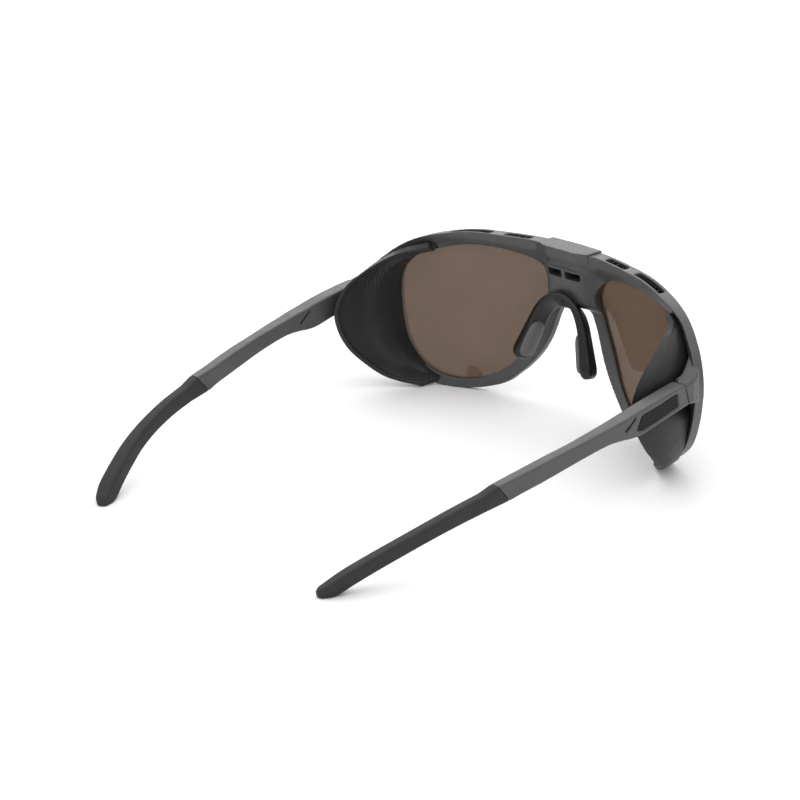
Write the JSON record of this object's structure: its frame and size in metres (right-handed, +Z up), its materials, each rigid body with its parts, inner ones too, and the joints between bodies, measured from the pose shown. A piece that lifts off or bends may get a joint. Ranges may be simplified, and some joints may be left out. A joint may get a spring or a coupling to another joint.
{
  "type": "glacier glasses",
  "caption": "Wrap-round glacier glasses with tinted lenses, flexible side shields and inward-folding temples with rubber tips.",
  "frame": {"origin": "on the surface it stands on, under the middle of the opened glasses", "axes": "+Z up, -Y the way the wearer looks, +X the wearer's left; symmetric about X = 0"},
  "size_m": [0.1412, 0.1588, 0.0554],
  "materials": {
    "frame_plastic": "moulded charcoal plastic, fine matte texture",
    "bumper_plastic": "slightly lighter charcoal plastic, fine matte texture",
    "lens_tint": "polished brown tinted lens, dark",
    "vent_plastic": "black, recessed",
    "saddle_rubber": "smooth black, slightly glossy",
    "pad_rubber": "soft grey, satin",
    "shield_rubber": "soft black sheet, matte, fine ribs at its front corners",
    "steel": "stainless",
    "emblem_plate": "plain black inlay, satin",
    "tip_rubber": "dark grey grippy rubber, very matte"
  },
  "bodies": {
    "front": {"front_frame": "frame_plastic", "brow_bumper": "bumper_plastic", "lens_left": "lens_tint", "lens_right": "lens_tint", "vent_insert_inner_left": "vent_plastic", "vent_insert_inner_right": "vent_plastic", "vent_insert_outer_left": "vent_plastic", "vent_insert_outer_right": "vent_plastic", "nose_saddle": "saddle_rubber", "nose_pad_left": "pad_rubber", "nose_pad_right": "pad_rubber", "side_shield_left": "shield_rubber", "side_shield_right": "shield_rubber", "hinge_screw_left": "steel", "hinge_screw_right": "steel"},
    "temple_left": {"temple_arm_left": "frame_plastic", "emblem_plate_left": "emblem_plate", "temple_core_left": "steel", "temple_tip_left": "tip_rubber"},
    "temple_right": {"temple_arm_right": "frame_plastic", "emblem_plate_right": "emblem_plate", "temple_core_right": "steel", "temple_tip_right": "tip_rubber"}
  },
  "joints": [
    {"name": "temple_fold_left", "type": "hinge", "parent": "front", "child": "temple_left", "pos_m": [0.066, -0.04619, 0.03106], "axis": [0, -0.0086, 1], "range_deg": [0, 82], "deforming": ["side_shield_left"]},
    {"name": "temple_fold_right", "type": "hinge", "parent": "front", "child": "temple_right", "pos_m": [-0.066, -0.04619, 0.03106], "axis": [0, 0.0086, -1], "range_deg": [0, 71], "deforming": ["side_shield_right"]}
  ]
}
